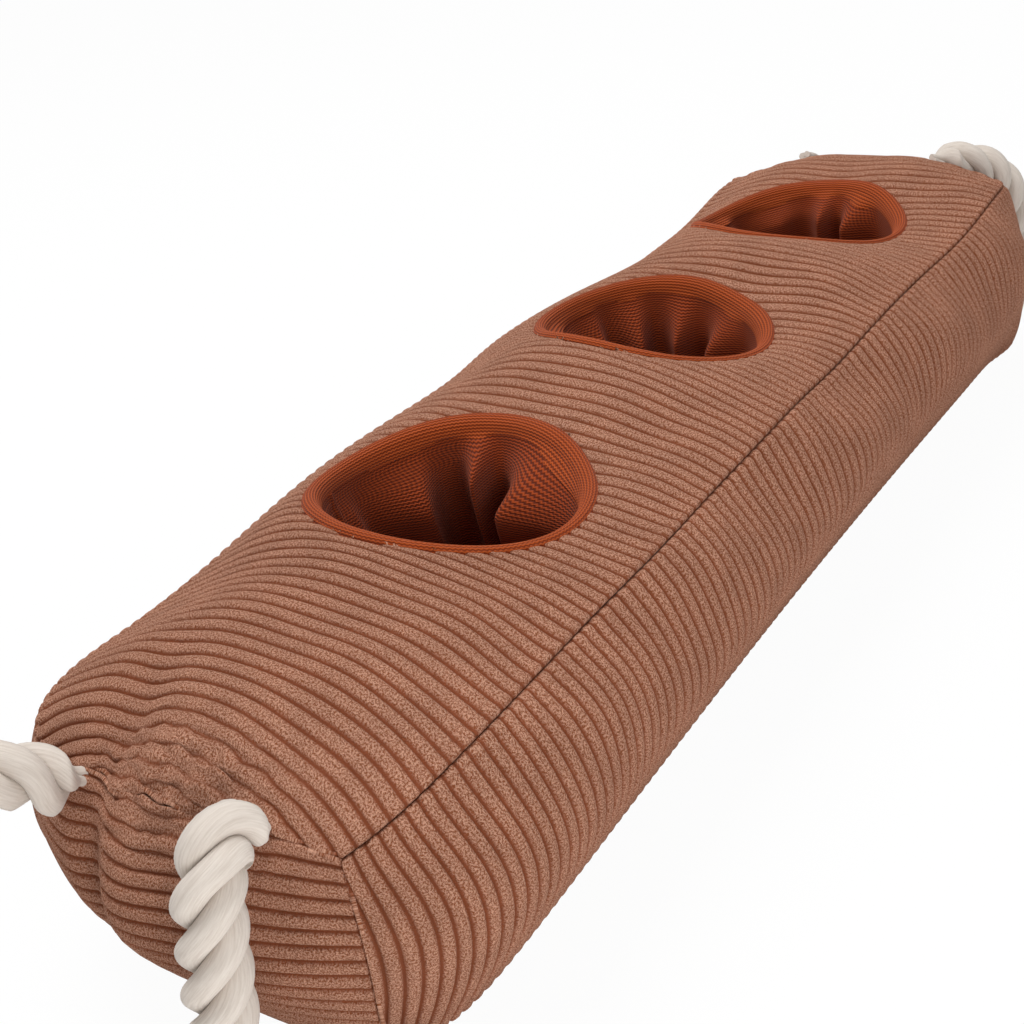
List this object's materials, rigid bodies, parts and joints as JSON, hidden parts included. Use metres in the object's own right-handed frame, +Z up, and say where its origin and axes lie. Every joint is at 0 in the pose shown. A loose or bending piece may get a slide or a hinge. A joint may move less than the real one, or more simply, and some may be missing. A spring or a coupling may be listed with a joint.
{
  "type": "plush snuffle toy",
  "caption": "Long stuffed corduroy pet bolster with round knitted snuffle pockets sunk in its top and a twisted cotton rope loop at each end.",
  "frame": {"origin": "on the floor under the middle of the stuffed cover", "axes": "+X along the cover towards its right end, -Y towards the front long side, +Z up"},
  "size_m": [0.7601, 0.179, 0.1082],
  "materials": {
    "corduroy": "brushed brown jumbo corduroy",
    "rib_knit": "rust rib knit",
    "cotton_rope": "off-white three-strand twisted cotton rope",
    "fibre_fill": "white polyester fibre"
  },
  "bodies": {
    "stuffed_body": {"top_panel": "corduroy", "bottom_panel": "corduroy", "front_panel": "corduroy", "back_panel": "corduroy", "left_end_panel": "corduroy", "right_end_panel": "corduroy", "stuffing_core": "fibre_fill", "pocket_rim_1": "rib_knit", "pocket_rim_2": "rib_knit", "pocket_rim_3": "rib_knit", "pocket_wall_1": "rib_knit", "pocket_wall_2": "rib_knit", "pocket_wall_3": "rib_knit", "pocket_base_1": "rib_knit", "pocket_base_2": "rib_knit", "pocket_base_3": "rib_knit"},
    "left_loop": {"left_rope_loop": "cotton_rope"},
    "right_loop": {"right_rope_loop": "cotton_rope"}
  },
  "joints": [
    {"name": "left_loop_swing", "type": "hinge", "parent": "stuffed_body", "child": "left_loop", "pos_m": [-0.25432, -0.0065, 0.08452], "axis": [0, 1, 0], "range_deg": [0, 60]},
    {"name": "right_loop_swing", "type": "hinge", "parent": "stuffed_body", "child": "right_loop", "pos_m": [0.25471, 0, 0.09392], "axis": [0, -1, 0], "range_deg": [0, 80]}
  ]
}
